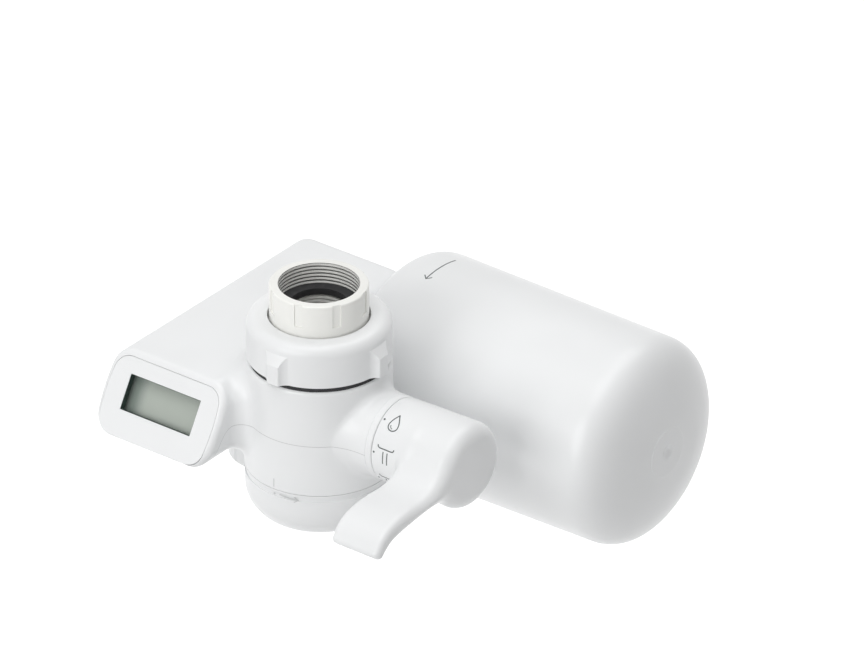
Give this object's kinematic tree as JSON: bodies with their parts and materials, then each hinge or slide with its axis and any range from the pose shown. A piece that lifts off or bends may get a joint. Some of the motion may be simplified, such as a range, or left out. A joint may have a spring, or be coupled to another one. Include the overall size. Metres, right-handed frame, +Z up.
{
  "type": "faucet mount water filter",
  "caption": "White tap-mounted water filter: threaded adapter and clamp nut, round body with a three-way lever, display arm and a drum cartridge lying beside it.",
  "frame": {"origin": "centre of the tap adapter's top rim, where the tap's end enters", "axes": "+Z up along the tap's thread, +X along the lever's axis and the cartridge, -Y towards the front with the display"},
  "size_m": [0.1369, 0.1305, 0.0827],
  "materials": {
    "white_plastic": "satin moulded",
    "cream_plastic": "satin moulded",
    "inner_plastic": "moulded",
    "grey_plastic": "moulded",
    "blue_plastic": "moulded",
    "rubber": "matte",
    "grey_rubber": "matte",
    "steel": "brushed",
    "clear_plastic": "clear",
    "display_glass": "gloss",
    "board_green": "lacquered",
    "carbon": "porous",
    "fleece": "non-woven",
    "fibre": "fibrous",
    "resin": "cast"
  },
  "bodies": {
    "unit": {"tap_adapter": "cream_plastic", "tap_washer": "rubber", "inlet_gasket": "rubber", "inlet_strainer": "steel", "upper_shell": "white_plastic", "lower_shell": "white_plastic", "housing_screws": "steel", "valve_body": "inner_plastic", "collar_ring": "white_plastic", "display_bezel": "white_plastic", "display_window": "clear_plastic", "lcd_panel": "display_glass", "contact_strips": "grey_rubber", "circuit_board": "board_green", "battery_cell": "steel", "battery_clip": "steel", "cartridge_socket": "inner_plastic", "raw_pipe": "inner_plastic", "filtered_pipe": "inner_plastic", "meter_cup": "inner_plastic", "meter_lid": "inner_plastic", "turbine_pin": "steel", "filtered_outlet": "white_plastic", "outlet_straightener": "inner_plastic", "outlet_ring": "rubber", "outlet_seal": "rubber"},
    "nut": {"clamp_nut": "white_plastic"},
    "lever": {"lever": "white_plastic", "valve_spool": "inner_plastic", "spool_seals": "rubber"},
    "cap": {"outlet_cap": "white_plastic", "shower_plate": "grey_plastic", "stream_nozzle": "grey_plastic"},
    "cartridge": {"cartridge_shell": "white_plastic", "cartridge_base": "white_plastic", "cartridge_seals": "rubber", "carbon_block": "carbon", "fleece_sleeve": "fleece", "media_cap": "inner_plastic", "fibre_case": "inner_plastic", "fibre_bundle": "fibre", "potting_plug": "resin"},
    "turbine": {"flow_turbine": "blue_plastic"}
  },
  "joints": [
    {"name": "lever_turn", "type": "hinge", "parent": "unit", "child": "lever", "pos_m": [0, 0, -0.0403], "axis": [-1, 0, 0], "range_deg": [0, 90]},
    {"name": "nut_turn", "type": "hinge", "parent": "unit", "child": "nut", "pos_m": [0, 0, -0.01595], "axis": [0, 0, 1], "continuous": true},
    {"name": "cap_turn", "type": "hinge", "parent": "unit", "child": "cap", "pos_m": [0, 0, -0.0642], "axis": [0, 0, 1], "range_deg": [0, 30]},
    {"name": "cartridge_turn", "type": "hinge", "parent": "unit", "child": "cartridge", "pos_m": [-0.0134, 0.0543, -0.0509], "axis": [1, 0, 0], "range_deg": [0, 45]},
    {"name": "turbine_spin", "type": "hinge", "parent": "unit", "child": "turbine", "pos_m": [-0.0347, 0.0209, -0.0462], "axis": [0, 0, 1], "continuous": true}
  ]
}
